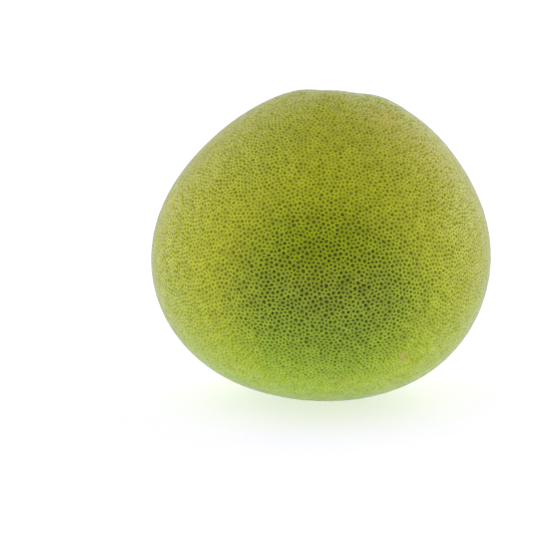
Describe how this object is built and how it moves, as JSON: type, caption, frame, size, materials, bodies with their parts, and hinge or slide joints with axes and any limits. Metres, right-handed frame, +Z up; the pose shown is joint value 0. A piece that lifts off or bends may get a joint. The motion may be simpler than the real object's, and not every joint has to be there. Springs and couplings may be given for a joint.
{
  "type": "pomelo",
  "caption": "Whole pomelo fruit with a pitted rind and a cut stem button, standing on its blossom end; rests on a table, shelf or in a fruit bowl.",
  "frame": {"origin": "on the surface the fruit stands on, under the middle of its bounding box", "axes": "+Z up through the stem end, +X to the right and -Y towards the viewer in the picture"},
  "size_m": [0.1508, 0.1496, 0.1377],
  "materials": {
    "rind": "yellow-green waxy citrus skin with darker oil-gland pits, satin",
    "stem_button": "dry brown-green calyx and cut stem wood, matt"
  },
  "bodies": {
    "root": {"pomelo_fruit": "rind", "stem_button": "stem_button"}
  },
  "joints": []
}
